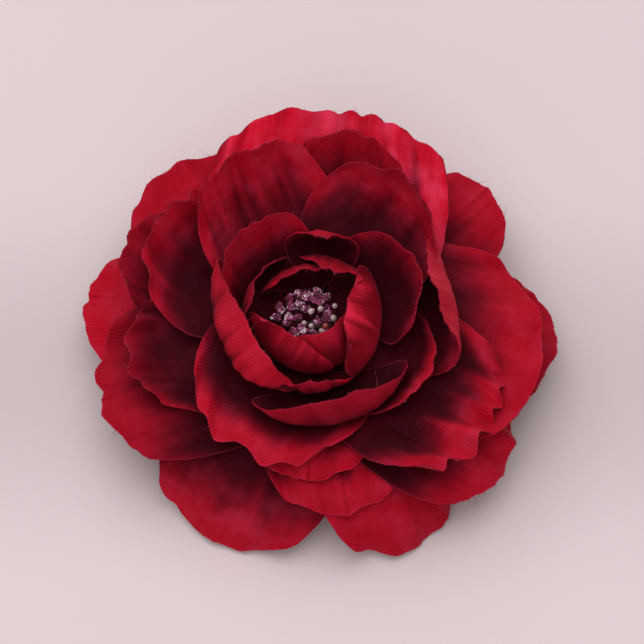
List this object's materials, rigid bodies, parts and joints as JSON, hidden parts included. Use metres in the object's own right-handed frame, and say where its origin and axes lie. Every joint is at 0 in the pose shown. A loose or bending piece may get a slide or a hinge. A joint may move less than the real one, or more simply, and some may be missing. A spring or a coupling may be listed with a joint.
{
  "type": "flower hair clip",
  "caption": "Large layered fabric flower with a beaded stamen centre on a felt-backed, sprung flat metal hair clip",
  "frame": {"origin": "On the flower's axis, on the flat outer face of the sprung jaw, the face that lies on the head", "axes": "+Z out of the flower along its stem, +Y towards the finger tab of the clip, +X across the clip"},
  "size_m": [0.0936, 0.0872, 0.0342],
  "materials": {
    "petal_outer": "stiffened woven polyester, pressed, soft sheen",
    "petal_inner": "stiffened woven polyester, dyed darker, soft sheen",
    "collar": "moulded, natural",
    "stem": "moulded, dark red",
    "thread": "stiffened thread",
    "glitter": "coated with purple glitter",
    "pearl": "pearl lacquer",
    "felt": "pressed felt",
    "glue": "set hot-melt glue, translucent",
    "steel": "nickel-plated pressed steel",
    "pin": "drawn wire, headed",
    "spring": "spring wire"
  },
  "bodies": {
    "flower": {"petals_1": "petal_outer", "petals_2": "petal_outer", "petals_3": "petal_outer", "petals_4": "petal_inner", "petals_5": "petal_inner", "petals_6": "petal_inner", "collars": "collar", "stem": "stem", "stamen_threads": "thread", "glitter_tips": "glitter", "pearl_tips": "pearl", "felt": "felt", "glue": "glue", "clip_plate": "steel", "hinge_pin": "pin", "spring": "spring"},
    "jaw": {"clip_jaw": "steel"}
  },
  "joints": [
    {"name": "clip_hinge", "type": "hinge", "parent": "flower", "child": "jaw", "pos_m": [0, 0.014, 0.0028], "axis": [1, 0, 0], "range_deg": [0, 28], "stiffness_Nm_per_rad": 0.04, "springref_deg": -85.94, "deforming": ["spring"]}
  ]
}
